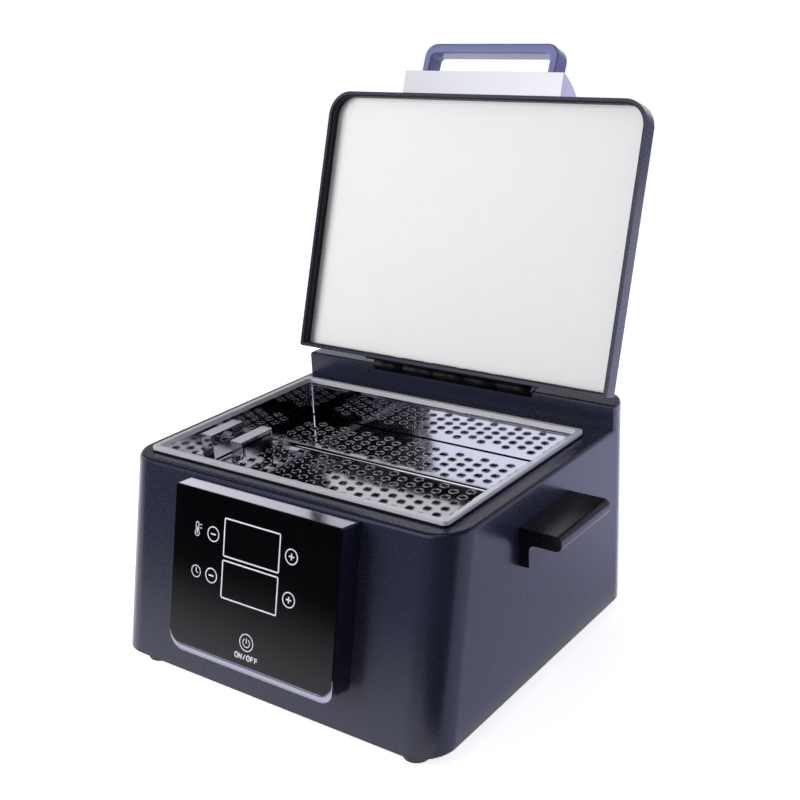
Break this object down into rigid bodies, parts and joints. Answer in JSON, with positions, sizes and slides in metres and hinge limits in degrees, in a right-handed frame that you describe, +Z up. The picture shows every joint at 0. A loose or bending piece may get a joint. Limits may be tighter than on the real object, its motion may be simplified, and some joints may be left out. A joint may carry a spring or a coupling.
{
  "type": "dry-heat benchtop oven",
  "caption": "Benchtop dry-heat oven: moulded housing, hinged lid with handle, drawn steel tank, lift-out perforated tray, side grips and sloping control panel.",
  "frame": {"origin": "middle of the oven's overall width and depth with its lid open, on the bench face under the four feet", "axes": "+Z up, -Y out of the raked front with the control panel, +X to the right of someone facing the panel"},
  "size_m": [0.2926, 0.2874, 0.354],
  "materials": {
    "housing_plastic": "dark slate-blue moulded plastic, fine satin",
    "base_sheet": "black painted steel sheet",
    "screw_steel": "zinc plated steel",
    "foot_rubber": "black rubber",
    "seal_silicone": "black silicone",
    "tank_steel": "polished stainless steel",
    "bracket_steel": "plain steel sheet",
    "heater_mica": "mica heater plate",
    "insulation_wool": "ceramic fibre felt",
    "sensor_body": "ceramic and metal cut-out",
    "probe_brass": "brass probe",
    "circuit_board": "green circuit board",
    "standoff_brass": "brass standoff",
    "copper_winding": "laminated core and winding",
    "heatsink_aluminium": "extruded aluminium",
    "relay_case": "blue relay case",
    "terminal_plastic": "green terminal block",
    "inlet_plastic": "black plastic",
    "pin_metal": "plated brass",
    "pod_plastic": "dark slate-blue moulded plastic, satin",
    "panel_acrylic": "black glossy acrylic",
    "display_lens": "dark display module",
    "spring_steel": "plated spring",
    "grip_plastic": "black moulded plastic",
    "hinge_black": "black painted steel",
    "hinge_steel": "bright steel",
    "lid_plastic": "dark slate-blue moulded plastic, satin",
    "liner_sheet": "bright white coated sheet",
    "bracket_silver": "bright satin silver",
    "handle_plastic": "blue-grey satin plastic",
    "tray_steel": "polished stainless sheet",
    "tray_handle_steel": "polished stainless strip"
  },
  "bodies": {
    "base": {"housing": "housing_plastic", "base_plate": "base_sheet", "base_screws": "screw_steel", "rubber_feet": "foot_rubber", "foot_screws": "screw_steel", "rim_seal": "seal_silicone", "tank": "tank_steel", "tank_brackets": "bracket_steel", "heater_plate": "heater_mica", "insulation_wrap": "insulation_wool", "insulation_mat": "insulation_wool", "heat_shield": "bracket_steel", "thermal_cutout": "sensor_body", "temperature_probe": "probe_brass", "power_board": "circuit_board", "board_standoffs": "standoff_brass", "transformer": "copper_winding", "heatsink": "heatsink_aluminium", "relay": "relay_case", "terminal_block": "terminal_plastic", "power_inlet": "inlet_plastic", "inlet_pins": "pin_metal", "inlet_screws": "screw_steel", "control_pod": "pod_plastic", "control_panel": "panel_acrylic", "control_board": "circuit_board", "board_screws": "screw_steel", "temperature_display": "display_lens", "timer_display": "display_lens", "touch_springs": "spring_steel", "pod_screws": "screw_steel", "side_grip_left": "grip_plastic", "side_grip_right": "grip_plastic", "grip_screws": "screw_steel", "hinge_body_leaf": "hinge_black", "hinge_pin": "hinge_steel", "hinge_screws": "hinge_black"},
    "lid": {"hinge_lid_leaf": "hinge_black", "hinge_rivets": "hinge_steel", "lid_shell": "lid_plastic", "lid_insulation": "insulation_wool", "lid_liner": "liner_sheet", "handle_bracket": "bracket_silver", "lid_handle": "handle_plastic", "handle_screws": "screw_steel"},
    "tray": {"perforated_tray": "tray_steel", "tray_handle_left": "tray_handle_steel", "tray_handle_right": "tray_handle_steel", "tray_rivets": "tray_handle_steel"}
  },
  "joints": [
    {"name": "lid_hinge", "type": "hinge", "parent": "base", "child": "lid", "pos_m": [0, 0.0725, 0.145], "axis": [1, 0, 0], "range_deg": [0, 107.5]},
    {"name": "tray_lift", "type": "slide", "parent": "base", "child": "tray", "axis": [0, 0, 1], "range_m": [0, 0.08]}
  ]
}
